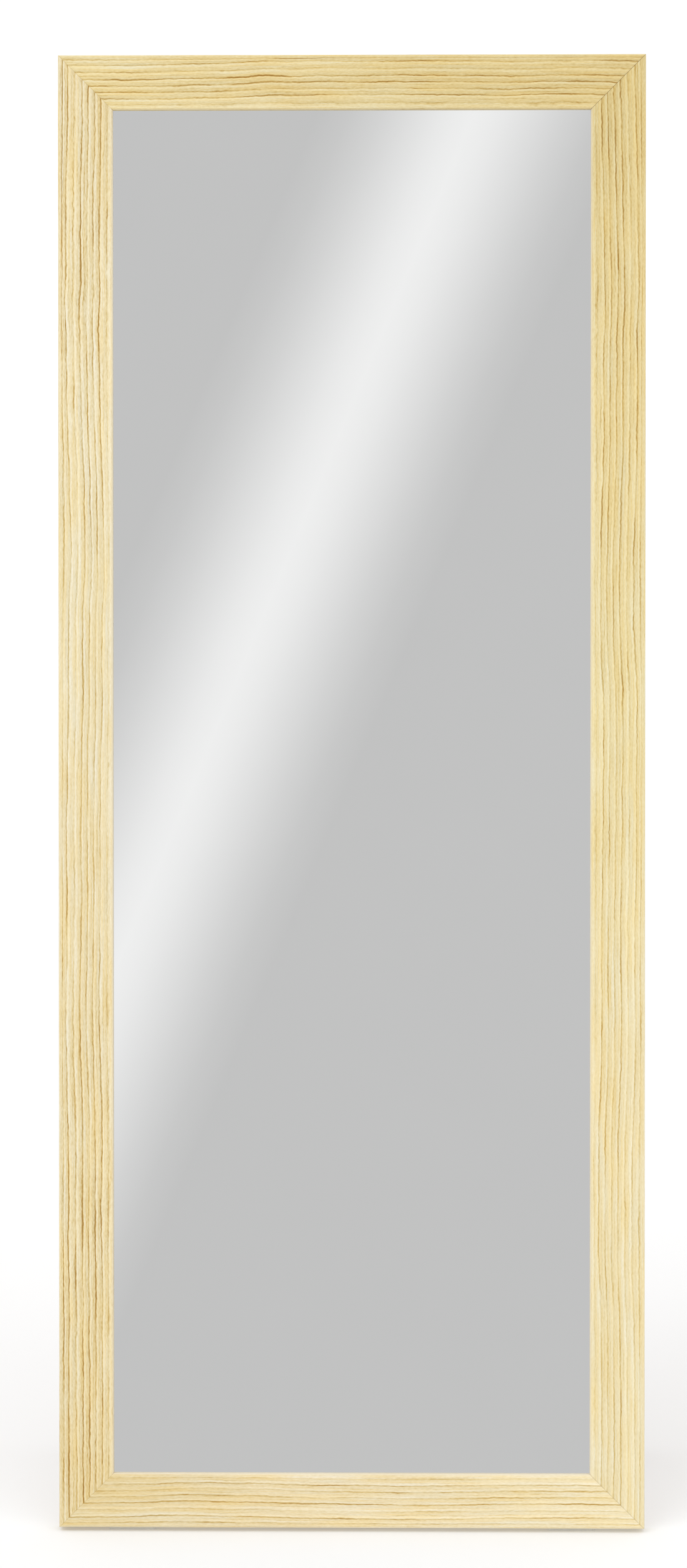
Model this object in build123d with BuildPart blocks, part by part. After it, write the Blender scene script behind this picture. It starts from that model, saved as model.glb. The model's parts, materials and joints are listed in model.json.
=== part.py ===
from build123d import *
import os
from math import acos, cos, degrees, radians, sin

# A framed full-length floor mirror that stands by itself. Four mitred timber mouldings hold a
# silvered glass, a cardboard sheet and a backing board, and a U-shaped steel tube folds out behind.
# Millimetres, +Z up. The origin is on the floor under the middle of the footprint. The glass
# faces -Y and leans back. Left and right are those of someone looking into the mirror.

# Driving dimensions: frame and glazing
FRAME_W = 546.0  # outside width
FRAME_H = 1372.0  # outside height, measured along the leaning frame
FACE_W = 51.0  # face width of the moulding
DEPTH = 20.0  # thickness of the moulding
EDGE_R = 2.0  # rounding of the moulding's front edges
REBATE_W = 8.0  # how far the lip covers the glass
LIP_T = 5.0  # thickness of the lip in front of the glass
GLASS_T = 4.0
GLASS_PLAY = 1.0  # gap round the glass in the rebate
CARD_T = 2.0
BOARD_T = 3.0
LEAN = 8.0  # degrees that the frame leans back when the stand is open
PAD_MIN = 1.5  # thinnest point of the wedge pads under the frame

# Driving dimensions: folding stand
TUBE_R = 8.0
TUBE_WALL = 1.5
BEND_R = 55.0
FOOT_R = 11.0  # outside radius of the rubber sleeves
FOLD_MARGIN = 2.0  # the sleeves stay this far above the frame's lower edge when folded
PIVOT_V = 880.0  # height of the pivots, measured along the frame
PIVOT_OUT = 12.5  # pivot axis above the bracket's plate
STOP_GAP = 0.3  # left between the tube's heel and the plate at the stop
PLUG_T = 2.0  # flange of the plug in the tube's end

# Driving dimensions: pivot brackets and their M6 bolts
PLATE_W = 40.0
PLATE_H = 46.0
PLATE_T = 2.0
EAR_IN = 9.2  # inner face of an ear, from the bracket's middle
EAR_T = 2.0
EAR_R = 9.0
EAR_FOOT = 30.0  # width of an ear where it meets the plate
PLATE_CORNER = 4.0
BOLT_R = 3.0
PIVOT_HOLE_R = 3.1
HEAD_R = 5.25
HEAD_H = 3.3
HEAD_DOME = 2.2
KEY_ACROSS = 4.0  # the head's hexagon socket
KEY_DEEP = 2.0
BOLT_PAST = 1.5  # length of bolt beyond the nut
NUT_ACROSS = 10.0
NUT_H = 6.0
COLLAR_R = 4.3  # the nut's nylon end
COLLAR_H = 1.2
WASHER_R = 7.0
WASHER_T = 0.9
SNUG = 0.05  # gap between pieces that are tight on each other

# Driving dimensions: wall hangers
HANGER_V = 1190.0  # height of the keyholes, measured along the frame
HANGER_W = 16.0
HANGER_T = 1.5
HANGER_RISE = 3.5  # room behind the raised part for a screw's head
HANGER_FLAT = 30.0  # length of the raised part
FLANGE = 13.0
FLANGE_CORNER = 3.0
KEYHOLE_R = 5.0
KEYSLOT_R = 2.5
KEYSLOT_L = 9.0

# Where everything stands
lean = radians(LEAN)
front_lift = PAD_MIN + DEPTH * sin(lean)
pivot_behind = DEPTH + PLATE_T + PIVOT_OUT
pivot_y = PIVOT_V * sin(lean) + pivot_behind * cos(lean)
pivot_z = front_lift + PIVOT_V * cos(lean) - pivot_behind * sin(lean)
stand_length = PIVOT_V - FOOT_R - FOLD_MARGIN
rake = acos((pivot_z - FOOT_R) / stand_length)
opening = lean + rake
foot_y = pivot_y + stand_length * sin(rake)
front_y = -(foot_y + FOOT_R) / 2
heel = (PIVOT_OUT - TUBE_R * cos(opening) - STOP_GAP) / sin(opening)

# FRONT lies on the moulding's face, with its origin at the middle of the lower edge.
FRONT = Plane(origin=(0, front_y, front_lift), x_dir=(1, 0, 0), z_dir=(0, -cos(lean), sin(lean)))
# BACK lies on the moulding's back, as seen from behind: +x is to that viewer's right.
BACK = Plane(origin=FRONT.offset(-DEPTH).origin, x_dir=(-1, 0, 0), z_dir=-FRONT.z_dir)
# STAND holds the tube's centre line, with its origin on the pivot axis.
STAND = Plane(
    origin=(0, front_y + pivot_y, pivot_z),
    x_dir=(1, 0, 0),
    z_dir=(0, -cos(rake), -sin(rake)),
)
stile_mid = FRAME_W / 2 - (FACE_W - REBATE_W) / 2
SIDES = {"left": -1, "right": 1}

# Each member runs along its own face plane: x inward from the outer edge, y along the member.
MEMBERS = {
    "left_stile": ((-FRAME_W / 2, 0), FRONT.x_dir, FRAME_H),
    "top_rail": ((-FRAME_W / 2, FRAME_H), -FRONT.y_dir, FRAME_W),
    "right_stile": ((FRAME_W / 2, FRAME_H), -FRONT.x_dir, FRAME_H),
    "bottom_rail": ((FRAME_W / 2, 0), FRONT.y_dir, FRAME_W),
}


def face_plane(member):
    """The plane on a member's front face, with its origin at the outer corner where it starts."""
    corner, inward, _ = MEMBERS[member]
    return Plane(origin=FRONT.from_local_coords(corner), x_dir=inward, z_dir=FRONT.z_dir)


def on_back(x, up, out=0.0):
    """A place on the frame's back, x as seen from behind, facing away from it."""
    return BACK.offset(out).location * Location((x, up, 0))


def pivot_plane(side):
    """The plane across one pivot: z points outward along the axis, y away from the frame's back."""
    outward = Vector(side, 0, 0)
    origin = on_back(-side * stile_mid, PIVOT_V, PLATE_T + PIVOT_OUT).position
    return Plane(origin=origin, x_dir=BACK.z_dir.cross(outward), z_dir=outward)


def save(shape, name):
    """Labels a finished piece and writes it as parts/NAME.step."""
    shape.label = name
    export_step(shape, f"parts/{name}.step")


os.makedirs("parts", exist_ok=True)


# The four mouldings: mitred at both ends, with a rebate behind the inner edge
rebate_start = FACE_W - REBATE_W
for member, (*_, length) in MEMBERS.items():
    face = face_plane(member)
    with BuildPart() as moulding:
        with BuildSketch(face):
            with BuildLine():
                Polyline(
                    (0, 0), (0, length), (FACE_W, length - FACE_W), (FACE_W, FACE_W), close=True
                )
            make_face()
        extrude(amount=-DEPTH)
        with BuildSketch(face.offset(-LIP_T)):
            with BuildLine():
                Polyline(
                    (rebate_start, rebate_start),
                    (rebate_start, length - rebate_start),
                    (FACE_W, length - FACE_W),
                    (FACE_W, FACE_W),
                    close=True,
                )
            make_face()
        extrude(amount=LIP_T - DEPTH, mode=Mode.SUBTRACT)
        front_face = moulding.faces().sort_by(Axis(face.origin, face.z_dir))[-1]
        fillet(front_face.edges().sort_by(SortBy.LENGTH)[-2:], EDGE_R)
    save(moulding.part, member)


# V-nails: two bent steel wedges driven into the back of each mitre
NAIL_WING = 6.0
NAIL_T = 0.8
NAIL_H = 10.0
NAIL_SPLAY = 50.0  # angle between a wing and the mitre line
NAILS_AT = (15.0, 31.0)  # distance of each nail from the outer edges
with BuildSketch() as nail_outline:
    with BuildLine():
        wing_x = NAIL_WING * cos(radians(NAIL_SPLAY))
        wing_y = NAIL_WING * sin(radians(NAIL_SPLAY))
        Polyline((wing_x, wing_y), (0, 0), (wing_x, -wing_y))
        offset(amount=NAIL_T / 2, side=Side.BOTH)
    make_face()
with BuildPart() as corner_v_nails:
    for turn, (x_sign, up) in zip((45, 135, 225, 315), ((-1, 0), (1, 0), (1, 1), (-1, 1))):
        up_sign = 1 - 2 * up
        with BuildSketch(BACK):
            places = [
                Location((x_sign * (FRAME_W / 2 - at), up * FRAME_H + up_sign * at), turn)
                for at in NAILS_AT
            ]
            with Locations(*places):
                add(nail_outline.sketch)
        extrude(amount=-NAIL_H)
save(corner_v_nails.part, "corner_v_nails")


# Glass, cardboard sheet and backing board, one behind the other in the rebate
glazing_w = FRAME_W - 2 * (rebate_start + GLASS_PLAY)
glazing_h = FRAME_H - 2 * (rebate_start + GLASS_PLAY)
ARRIS = 0.5  # ground edge of the glass
BOARD_CORNER = 3.0
with BuildPart() as mirror_glass:
    with BuildSketch(FRONT.offset(-LIP_T)):
        with Locations((0, FRAME_H / 2)):
            Rectangle(glazing_w, glazing_h)
    extrude(amount=-GLASS_T)
    pane = mirror_glass.faces().sort_by(Axis(FRONT.origin, FRONT.z_dir))
    chamfer(pane[0].edges() + pane[-1].edges(), ARRIS)
save(mirror_glass.part, "mirror_glass")

with BuildPart() as cardboard_sheet:
    with BuildSketch(FRONT.offset(-LIP_T - GLASS_T)):
        with Locations((0, FRAME_H / 2)):
            Rectangle(glazing_w, glazing_h)
    extrude(amount=-CARD_T)
save(cardboard_sheet.part, "cardboard_sheet")

with BuildPart() as backing_board:
    with BuildSketch(FRONT.offset(-LIP_T - GLASS_T - CARD_T)):
        with Locations((0, FRAME_H / 2)):
            RectangleRounded(glazing_w, glazing_h, BOARD_CORNER)
    extrude(amount=-BOARD_T)
save(backing_board.part, "backing_board")


# Retaining points: flat steel tabs driven into the rebate over the backing board
POINT_W = 9.0
POINT_T = 0.5
POINT_IN = 6.0  # length in the timber
POINT_OVER = 9.0  # length over the board
POINTS_ALONG = {FRAME_H: 8, FRAME_W: 3}
board_back = LIP_T + GLASS_T + CARD_T + BOARD_T
with BuildSketch() as point_outline:
    with BuildLine():
        Polyline(
            (-POINT_IN, 0),
            (-POINT_IN / 2, -POINT_W / 2),
            (POINT_OVER, -POINT_W / 2),
            (POINT_OVER, POINT_W / 2),
            (-POINT_IN / 2, POINT_W / 2),
            close=True,
        )
    make_face()
with BuildPart() as retaining_points:
    for member, (*_, length) in MEMBERS.items():
        count = POINTS_ALONG[length]
        pitch = (length - 2 * FACE_W) / count
        places = [(rebate_start, FACE_W + pitch * (i + 0.5)) for i in range(count)]
        with BuildSketch(face_plane(member).offset(-board_back)):
            with Locations(*places):
                add(point_outline.sketch)
        extrude(amount=-POINT_T)
save(retaining_points.part, "retaining_points")


# Wedge pads that stand flat on the floor under the leaning frame
PAD_L = 42.0
PAD_TO = DEPTH - 0.5  # behind the front face
PAD_FROM = PAD_TO - 10.5
PAD_X = 205.0
for name, side in SIDES.items():
    rear = FRONT.from_local_coords((0, 0, -PAD_TO))
    fore = FRONT.from_local_coords((0, 0, -PAD_FROM))
    with BuildPart() as floor_pad:
        with BuildSketch(Plane.YZ.offset(side * PAD_X)):
            with BuildLine():
                Polyline((rear.Y, 0), (rear.Y, rear.Z), (fore.Y, fore.Z), (fore.Y, 0), close=True)
            make_face()
        extrude(amount=PAD_L / 2, both=True)
    save(floor_pad.part, f"{name}_floor_pad")


# A countersunk wood screw with a cross recess, its head's top at the origin and its tip down -Z
SCREW_L = 16.0
SCREW_TAPER = 5.0  # length of the point
SCREW_R = 1.9
SCREW_HEAD_R = 3.5
SCREW_HEAD_T = 1.6
RECESS_L, RECESS_W, RECESS_DEEP = 4.2, 0.9, 1.2
with BuildPart() as screw:
    with BuildSketch(Plane.XZ):
        with BuildLine():
            Polyline(
                (0, 0),
                (SCREW_HEAD_R, 0),
                (SCREW_R, -SCREW_HEAD_T),
                (SCREW_R, SCREW_TAPER - SCREW_L),
                (0, -SCREW_L),
                close=True,
            )
        make_face()
    revolve(axis=Axis.Z)
    with BuildSketch():
        Rectangle(RECESS_L, RECESS_W)
        Rectangle(RECESS_W, RECESS_L)
    extrude(amount=-RECESS_DEEP, mode=Mode.SUBTRACT)

SINK_R = SCREW_HEAD_R + SNUG
SCREW_HOLE_R = SCREW_R + 3 * SNUG


# Pivot brackets: a plate screwed to each stile, with two ears that carry the bolt
SCREW_X = 15.4
SCREW_UP = 17.0
for name, side in SIDES.items():
    pivot = pivot_plane(side)
    ear_base_y = -PIVOT_OUT - PLATE_T / 2
    plate_top = [
        on_back(-side * stile_mid + x, PIVOT_V + up, PLATE_T)
        for x in (-SCREW_X, SCREW_X)
        for up in (-SCREW_UP, SCREW_UP)
    ]
    with BuildPart() as bracket:
        with BuildSketch(pivot):
            Circle(EAR_R)
            with Locations((0, ear_base_y)):
                Rectangle(EAR_FOOT, PLATE_T)
            make_hull()
        extrude(amount=EAR_IN + EAR_T, both=True)
        with BuildSketch(pivot):
            with Locations((0, EAR_R)):
                Rectangle(PLATE_H, 2 * (PIVOT_OUT + EAR_R))
        extrude(amount=EAR_IN, both=True, mode=Mode.SUBTRACT)
        with BuildSketch(Plane(on_back(-side * stile_mid, PIVOT_V))):
            RectangleRounded(PLATE_W, PLATE_H, PLATE_CORNER)
        extrude(amount=PLATE_T)
        with BuildSketch(pivot):
            Circle(PIVOT_HOLE_R)
        extrude(amount=EAR_IN + EAR_T, both=True, mode=Mode.SUBTRACT)
        with Locations(*plate_top):
            CounterSinkHole(SCREW_HOLE_R, SINK_R, depth=PLATE_T, counter_sink_angle=90)
    save(bracket.part, f"{name}_pivot_bracket")

with BuildPart() as bracket_screws:
    places = [
        on_back(side * stile_mid + x, PIVOT_V + up, PLATE_T)
        for side in SIDES.values()
        for x in (-SCREW_X, SCREW_X)
        for up in (-SCREW_UP, SCREW_UP)
    ]
    with Locations(*places):
        add(screw.part)
save(bracket_screws.part, "bracket_screws")


# Pivot bolts: M6 button heads outside, locking nuts inside, nylon washers beside the tube
ear_out = EAR_IN + EAR_T
bolt_tip = ear_out + NUT_H + BOLT_PAST
for name, side in SIDES.items():
    pivot = pivot_plane(side)
    with BuildPart() as bolt:
        with BuildSketch(pivot.offset(-bolt_tip)):
            Circle(BOLT_R)
        extrude(amount=bolt_tip + ear_out)
        tip = bolt.faces().sort_by(Axis(pivot.origin, pivot.z_dir))[0]
        chamfer(tip.edges(), BOLT_R / 6)
        with BuildSketch(pivot.offset(ear_out)):
            Circle(HEAD_R)
        extrude(amount=HEAD_H)
        crown = bolt.faces().sort_by(Axis(pivot.origin, pivot.z_dir))[-1]
        fillet(crown.edges(), HEAD_DOME)
        with BuildSketch(pivot.offset(ear_out + HEAD_H)):
            RegularPolygon(KEY_ACROSS / 2, 6, major_radius=False)
        extrude(amount=-KEY_DEEP, mode=Mode.SUBTRACT)
    save(bolt.part, f"{name}_pivot_bolt")

with BuildPart() as pivot_lock_nuts:
    for side in SIDES.values():
        pivot = pivot_plane(side)
        with BuildSketch(pivot.offset(-ear_out)):
            RegularPolygon(NUT_ACROSS / 2, 6, major_radius=False)
            Circle(BOLT_R + SNUG, mode=Mode.SUBTRACT)
        extrude(amount=COLLAR_H - NUT_H)
        with BuildSketch(pivot.offset(-ear_out - NUT_H + COLLAR_H)):
            Circle(COLLAR_R)
            Circle(BOLT_R + SNUG, mode=Mode.SUBTRACT)
        extrude(amount=-COLLAR_H)
save(pivot_lock_nuts.part, "pivot_lock_nuts")

with BuildPart() as pivot_washers:
    for side in SIDES.values():
        pivot = pivot_plane(side)
        for start in (EAR_IN - WASHER_T - SNUG, -EAR_IN + SNUG):
            with BuildSketch(pivot.offset(start)):
                Circle(WASHER_R)
                Circle(PIVOT_HOLE_R, mode=Mode.SUBTRACT)
            extrude(amount=WASHER_T)
save(pivot_washers.part, "pivot_washers")


# Raised keyhole hangers, for hanging the frame on two screws once the stand is taken off
hanger_half = HANGER_FLAT / 2
hanger_end = hanger_half + HANGER_RISE + FLANGE
hanger_screw = hanger_half + HANGER_RISE + FLANGE / 2
for name, side in SIDES.items():
    seat = Plane(on_back(-side * stile_mid, HANGER_V))
    profile = Plane(origin=seat.origin, x_dir=seat.y_dir, z_dir=seat.x_dir)
    with BuildPart() as hanger:
        with BuildSketch(profile):
            with BuildLine():
                Polyline(
                    (-hanger_end, 0),
                    (-hanger_half - HANGER_RISE, 0),
                    (-hanger_half, HANGER_RISE),
                    (hanger_half, HANGER_RISE),
                    (hanger_half + HANGER_RISE, 0),
                    (hanger_end, 0),
                    (hanger_end, HANGER_T),
                    (hanger_half + HANGER_RISE + HANGER_T / 2, HANGER_T),
                    (hanger_half + HANGER_T / 2, HANGER_RISE + HANGER_T),
                    (-hanger_half - HANGER_T / 2, HANGER_RISE + HANGER_T),
                    (-hanger_half - HANGER_RISE - HANGER_T / 2, HANGER_T),
                    (-hanger_end, HANGER_T),
                    close=True,
                )
            make_face()
        extrude(amount=HANGER_W / 2, both=True)
        ends = hanger.edges().filter_by(Axis(seat.origin, seat.z_dir))
        fillet(ends, FLANGE_CORNER)
        with BuildSketch(seat.offset(HANGER_RISE)):
            Circle(KEYHOLE_R)
            with Locations((0, KEYSLOT_L / 2)):
                Rectangle(2 * KEYSLOT_R, KEYSLOT_L)
            with Locations((0, KEYSLOT_L)):
                Circle(KEYSLOT_R)
        extrude(amount=HANGER_T, mode=Mode.SUBTRACT)
        flanges = [
            on_back(-side * stile_mid, HANGER_V + up, HANGER_T)
            for up in (-hanger_screw, hanger_screw)
        ]
        with Locations(*flanges):
            CounterSinkHole(SCREW_HOLE_R, SINK_R, depth=HANGER_T, counter_sink_angle=90)
    save(hanger.part, f"{name}_keyhole_hanger")

with BuildPart() as hanger_screws:
    places = [
        on_back(side * stile_mid, HANGER_V + up, HANGER_T)
        for side in SIDES.values()
        for up in (-hanger_screw, hanger_screw)
    ]
    with Locations(*places):
        add(screw.part)
save(hanger_screws.part, "hanger_screws")


# The stand: one tube bent to a U, cross-drilled at its two ends
tube_top = heel - PLUG_T
with BuildPart() as stand_tube:
    with BuildLine(STAND) as route:
        FilletPolyline(
            (-stile_mid, tube_top),
            (-stile_mid, -stand_length),
            (stile_mid, -stand_length),
            (stile_mid, tube_top),
            radius=BEND_R,
        )
    with BuildSketch(Plane(origin=route.line @ 0, z_dir=route.line % 0)):
        Circle(TUBE_R)
        Circle(TUBE_R - TUBE_WALL, mode=Mode.SUBTRACT)
    sweep(path=route.line)
    for side in SIDES.values():
        with BuildSketch(pivot_plane(side)):
            Circle(PIVOT_HOLE_R)
        extrude(amount=TUBE_R + 1, both=True, mode=Mode.SUBTRACT)
save(stand_tube.part, "stand_tube")

PLUG_STEM_R = TUBE_R - TUBE_WALL - SNUG
PLUG_STEM_L = 8.0
PLUG_EDGE = 0.8
FOOT_X = 150.0
FOOT_L = 70.0
FOOT_EDGE = 1.5
FOOT_GROOVE = 1.0
FOOT_GROOVES = 5
for name, side in SIDES.items():
    end = STAND.from_local_coords((side * stile_mid, tube_top))
    mouth = Plane(origin=end, x_dir=(1, 0, 0), z_dir=STAND.y_dir)
    with BuildPart() as plug:
        with BuildSketch(mouth):
            Circle(TUBE_R)
        extrude(amount=PLUG_T)
        fillet(plug.faces().sort_by(Axis(end, STAND.y_dir))[-1].edges(), PLUG_EDGE)
        with BuildSketch(mouth):
            Circle(PLUG_STEM_R)
        extrude(amount=-PLUG_STEM_L)
    save(plug.part, f"{name}_tube_plug")

    middle = STAND.from_local_coords((side * FOOT_X, -stand_length))
    across = Plane(origin=middle, x_dir=(0, 1, 0), z_dir=(1, 0, 0))
    with BuildPart() as foot:
        with BuildSketch(across):
            Circle(FOOT_R)
        extrude(amount=FOOT_L / 2, both=True)
        fillet(foot.edges().filter_by(GeomType.CIRCLE), FOOT_EDGE)
        with BuildSketch(across):
            Circle(TUBE_R + SNUG)
        extrude(amount=FOOT_L / 2, both=True, mode=Mode.SUBTRACT)
        for i in range(FOOT_GROOVES):
            along = FOOT_L * ((i + 1) / (FOOT_GROOVES + 1) - 0.5)
            with BuildSketch(across.offset(along)):
                Circle(2 * FOOT_R)
                Circle(FOOT_R - FOOT_GROOVE, mode=Mode.SUBTRACT)
            extrude(amount=FOOT_GROOVE / 2, both=True, mode=Mode.SUBTRACT)
    save(foot.part, f"{name}_stand_foot")

print(f"opening {degrees(opening):.3f} degrees, rake {degrees(rake):.3f}, heel {heel:.2f}")
print(f"pivot axis at y {STAND.origin.Y:.3f}, z {STAND.origin.Z:.3f}, x +-{stile_mid:.2f}")
print(f"footprint depth {foot_y + FOOT_R:.2f}, stand length {stand_length:.2f}")
keyhole = on_back(stile_mid, HANGER_V, HANGER_RISE).position
print(f"keyholes at y {keyhole.Y:.3f}, z {keyhole.Z:.3f}")
print(f"pads at y {(rear.Y + fore.Y) / 2:.3f}, feet at y {middle.Y:.3f}, z {middle.Z:.3f}")
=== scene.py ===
"""Looks for the floor mirror: grained mouldings, silvered glass, the back and its folding stand."""

import json
import math

import bmesh
import bpy
import numpy as np
from mathutils import Matrix, Vector


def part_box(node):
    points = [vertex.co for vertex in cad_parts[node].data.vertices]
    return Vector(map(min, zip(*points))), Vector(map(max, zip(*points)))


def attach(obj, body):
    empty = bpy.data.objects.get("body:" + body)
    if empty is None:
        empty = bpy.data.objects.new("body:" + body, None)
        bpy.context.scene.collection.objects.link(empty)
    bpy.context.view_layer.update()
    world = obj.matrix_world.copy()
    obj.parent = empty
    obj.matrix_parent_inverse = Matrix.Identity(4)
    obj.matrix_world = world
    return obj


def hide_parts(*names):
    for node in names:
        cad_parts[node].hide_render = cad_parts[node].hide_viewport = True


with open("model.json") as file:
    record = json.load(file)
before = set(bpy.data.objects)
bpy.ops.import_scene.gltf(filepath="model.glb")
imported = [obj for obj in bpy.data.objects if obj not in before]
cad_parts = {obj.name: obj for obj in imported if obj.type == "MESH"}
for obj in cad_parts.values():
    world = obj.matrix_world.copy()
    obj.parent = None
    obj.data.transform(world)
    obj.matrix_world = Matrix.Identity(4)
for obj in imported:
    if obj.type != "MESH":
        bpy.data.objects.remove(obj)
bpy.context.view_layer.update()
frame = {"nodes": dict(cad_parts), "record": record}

MM = 0.001

# ---------------------------------------------------------------- the leaning frame's own axes

keyhole = next(m for m in frame["record"]["mounts"] if m["name"] == "left_keyhole")
FRONT = -Vector(keyhole["axis"]).normalized()
ACROSS = Vector((1, 0, 0))
ALONG = FRONT.cross(ACROSS).normalized()


def extent(node, direction):
    """The lowest and highest reach of a CAD node along a direction, from the row's origin."""
    reach = [direction.dot(v.co) for v in frame["nodes"][node].data.vertices]
    return min(reach), max(reach)


LEFT, RIGHT = extent("bottom_rail", ACROSS)
BOTTOM, TOP = extent("left_stile", ALONG)
BACK_FACE, FACE = extent("bottom_rail", FRONT)
FACE_W = extent("bottom_rail", ALONG)[1] - BOTTOM
DEPTH = FACE - BACK_FACE
WIDTH = RIGHT - LEFT
HALF = WIDTH / 2
HEIGHT = TOP - BOTTOM
GLASS_OUT = extent("mirror_glass", FRONT)[1] - FACE
GLASS_EDGE = extent("mirror_glass", ACROSS)[0] - LEFT


def place(across, along, out):
    """A point given by its distances from the frame's middle line, lower edge and front face."""
    return ACROSS * across + ALONG * (BOTTOM + along) + FRONT * (FACE + out)


def add_object(name, data):
    """A new object in the scene, holding a mesh, light or camera."""
    made = bpy.data.objects.new(name, data)
    bpy.context.scene.collection.objects.link(made)
    return made


# ---------------------------------------------------------------- node helpers


def linear(red, green, blue):
    """A colour given as 0 to 255 display values, in the linear values that shaders use."""
    def one(value):
        value /= 255
        return value / 12.92 if value <= 0.04045 else ((value + 0.055) / 1.055) ** 2.4

    return (one(red), one(green), one(blue), 1.0)


def greys(stops):
    """Ramp stops of plain grey from (position, level) pairs."""
    return [(at, (level, level, level, 1)) for at, level in stops]


class Graph:
    """A material's node tree, built one node at a time."""

    def __init__(self, name):
        self.material = bpy.data.materials.new(name)
        self.material.use_nodes = True
        self.tree = self.material.node_tree
        self.shader = self.tree.nodes["Principled BSDF"]

    def plug(self, socket, value):
        if isinstance(value, bpy.types.NodeSocket):
            self.tree.links.new(value, socket)
        else:
            socket.default_value = value

    def node(self, kind, inputs=(), **settings):
        made = self.tree.nodes.new("ShaderNode" + kind)
        for name, value in settings.items():
            setattr(made, name, value)
        for key, value in dict(inputs).items():
            self.plug(made.inputs[key], value)
        return made

    def math(self, operation, *values):
        return self.node("Math", dict(enumerate(values)), operation=operation).outputs[0]

    def add(self, first, second):
        return self.math("ADD", first, second)

    def times(self, first, second):
        return self.math("MULTIPLY", first, second)

    def apart(self, first, second):
        """How far two values are apart."""
        return self.math("ABSOLUTE", self.math("SUBTRACT", first, second))

    def attribute(self, name, output="Fac"):
        return self.node("Attribute", attribute_name=name).outputs[output]

    def vector(self, x, y, z):
        return self.node("CombineXYZ", {0: x, 1: y, 2: z}).outputs[0]

    def noise(self, vector, scale=1.0, detail=2.0, rough=0.5, distortion=0.0):
        made = self.node("TexNoise", {
            "Vector": vector, "Scale": scale, "Detail": detail, "Roughness": rough,
            "Distortion": distortion,
        })
        return made.outputs["Fac"]

    def fit(self, value, low, high, to_low=0.0, to_high=1.0, smooth=False):
        """Maps low to high onto to_low to to_high, held at the ends."""
        made = self.node(
            "MapRange",
            {"Value": value, "From Min": low, "From Max": high, "To Min": to_low, "To Max": to_high},
            interpolation_type="SMOOTHSTEP" if smooth else "LINEAR",
        )
        return made.outputs["Result"]

    def ramp(self, value, stops):
        made = self.node("ValToRGB", {"Fac": value})
        points = made.color_ramp.elements
        while len(points) < len(stops):
            points.new(0.5)
        for point, (position, colour) in zip(points, stops):
            point.position = position
            point.color = colour
        return made.outputs["Color"]

    def mix(self, share, first, second, blend="MIX"):
        """A blend of two colours. The Mix node has its factor at 0 and its colours at 6 and 7."""
        made = self.node("Mix", data_type="RGBA", blend_type=blend)
        self.plug(made.inputs[0], share)
        self.plug(made.inputs[6], first)
        self.plug(made.inputs[7], second)
        return made.outputs[2]

    def place(self):
        """The point's place in the row frame, the same on every piece and at every pose."""
        return self.node("TexCoord").outputs["Object"]

    def bump(self, height, strength, distance):
        made = self.node("Bump", {"Height": height, "Strength": strength, "Distance": distance})
        return made.outputs["Normal"]

    def surface(self, **sockets):
        """Sets the shader's sockets: base_color is Base Color, and so on."""
        names = {name.lower().replace(" ", "_"): name for name in self.shader.inputs.keys()}
        for key, value in sockets.items():
            self.plug(self.shader.inputs[names[key]], value)
        return self.material


# ---------------------------------------------------------------- wood

SEAM = linear(112, 90, 56)
# The wood's colour from its palest ridge, 0, to the bottom of its darkest line, 1.
SHADES = [
    (0.00, linear(233, 223, 193)), (0.15, linear(229, 216, 181)), (0.30, linear(223, 208, 168)),
    (0.43, linear(218, 201, 157)), (0.56, linear(210, 191, 142)), (0.69, linear(201, 177, 119)),
    (0.81, linear(192, 162, 94)), (0.92, linear(180, 144, 72)), (1.00, linear(166, 128, 57)),
]
# How dark the wood is across the moulding, from its outer edge, 0, to the lip, 1, before the grain.
ACROSS_FACE = [
    (0.00, 0.435), (0.06, 0.415), (0.14, 0.475), (0.25, 0.415), (0.36, 0.425), (0.47, 0.485),
    (0.58, 0.475), (0.71, 0.495), (0.84, 0.415), (0.90, 0.445), (0.94, 0.545),
]
LIP = 0.95  # the far side of the lip's rounded edge, on that scale
LIP_HIGHLIGHT_FADE_IN = (0.92, 0.94)  # a painted highlight fades in over this part of the rounded edge, turning the wood pale
# The colour of the painted highlight on the lip beside the glass.
LIP_PAINTED_HIGHLIGHT = linear(228, 218, 195)
# The finish's hue wanders from a cool grey to amber.
HUES = [(0.36, (0.98, 1.03, 1.19, 1)), (0.64, (1.02, 0.97, 0.83, 1))]

# The grain's layers of noise: what each follows across the moulding, its frequency over that and per
# metre along it, its number, and where they differ from the usual, the noise's detail and roughness.
# A ring is the line at a groove, and a band is the wood between two lines.
LAYERS = {
    "flutter": ("ring", 3.7, 60.0, 0.0),
    "tremor": ("ring", 6.1, 170.0, 12.0),
    "line_width": ("ring", 7.3, 22.0, 3.0),
    "line_dark": ("ring", 5.9, 19.0, 4.0),
    "line_fading": ("ring", 3.3, 9.0, 16.0),
    "dash": ("ring", 9.1, 75.0, 9.0, 1.0),
    "line_hue": ("ring", 4.7, 9.0, 15.0),
    "slope": ("band", 5.3, 12.0, 5.0),
    "thin_line_at": ("band", 8.7, 30.0, 10.0, 3.0),
    "thin_line_dark": ("band", 4.1, 14.0, 11.0),
    "streak": ("across", 1000.0, 34.0, 1.0, 3.0, 0.6),
    "wide_streak": ("across", 420.0, 14.0, 2.0),
    "hair": ("across", 1500.0, 16.0, 6.0),
    "fleck": ("across", 950.0, 260.0, 13.0),
    "fibre": ("across", 3800.0, 140.0, 7.0),
    "cloud": ("across", 34.0, 8.0, 8.0),
    "streak_hue": ("across", 860.0, 22.0, 14.0),
}
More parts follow.
